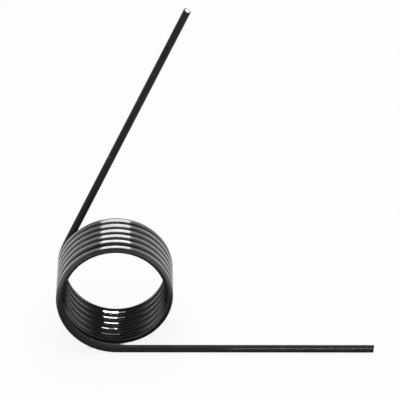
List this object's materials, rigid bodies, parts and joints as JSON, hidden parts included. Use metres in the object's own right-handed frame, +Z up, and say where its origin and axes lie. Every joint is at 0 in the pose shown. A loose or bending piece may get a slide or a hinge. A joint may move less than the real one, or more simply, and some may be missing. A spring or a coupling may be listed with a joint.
{
  "type": "torsion spring",
  "caption": "Open-wound helical torsion spring of round black steel wire, with long straight legs that leave the coil at a tangent and push back when they are turned about it.",
  "frame": {"origin": "on the coil's axis, level with the middle of the wire where the front leg meets the coil", "axes": "+Y along the coil's axis from the front leg's end of the coil to the back leg's end, +X the way the front leg points, +Z up from the surface that the spring lies on"},
  "size_m": [0.0667, 0.0224, 0.0713],
  "materials": {
    "wire": "gloss"
  },
  "bodies": {
    "root": {"torsion_spring": "wire"}
  },
  "joints": []
}
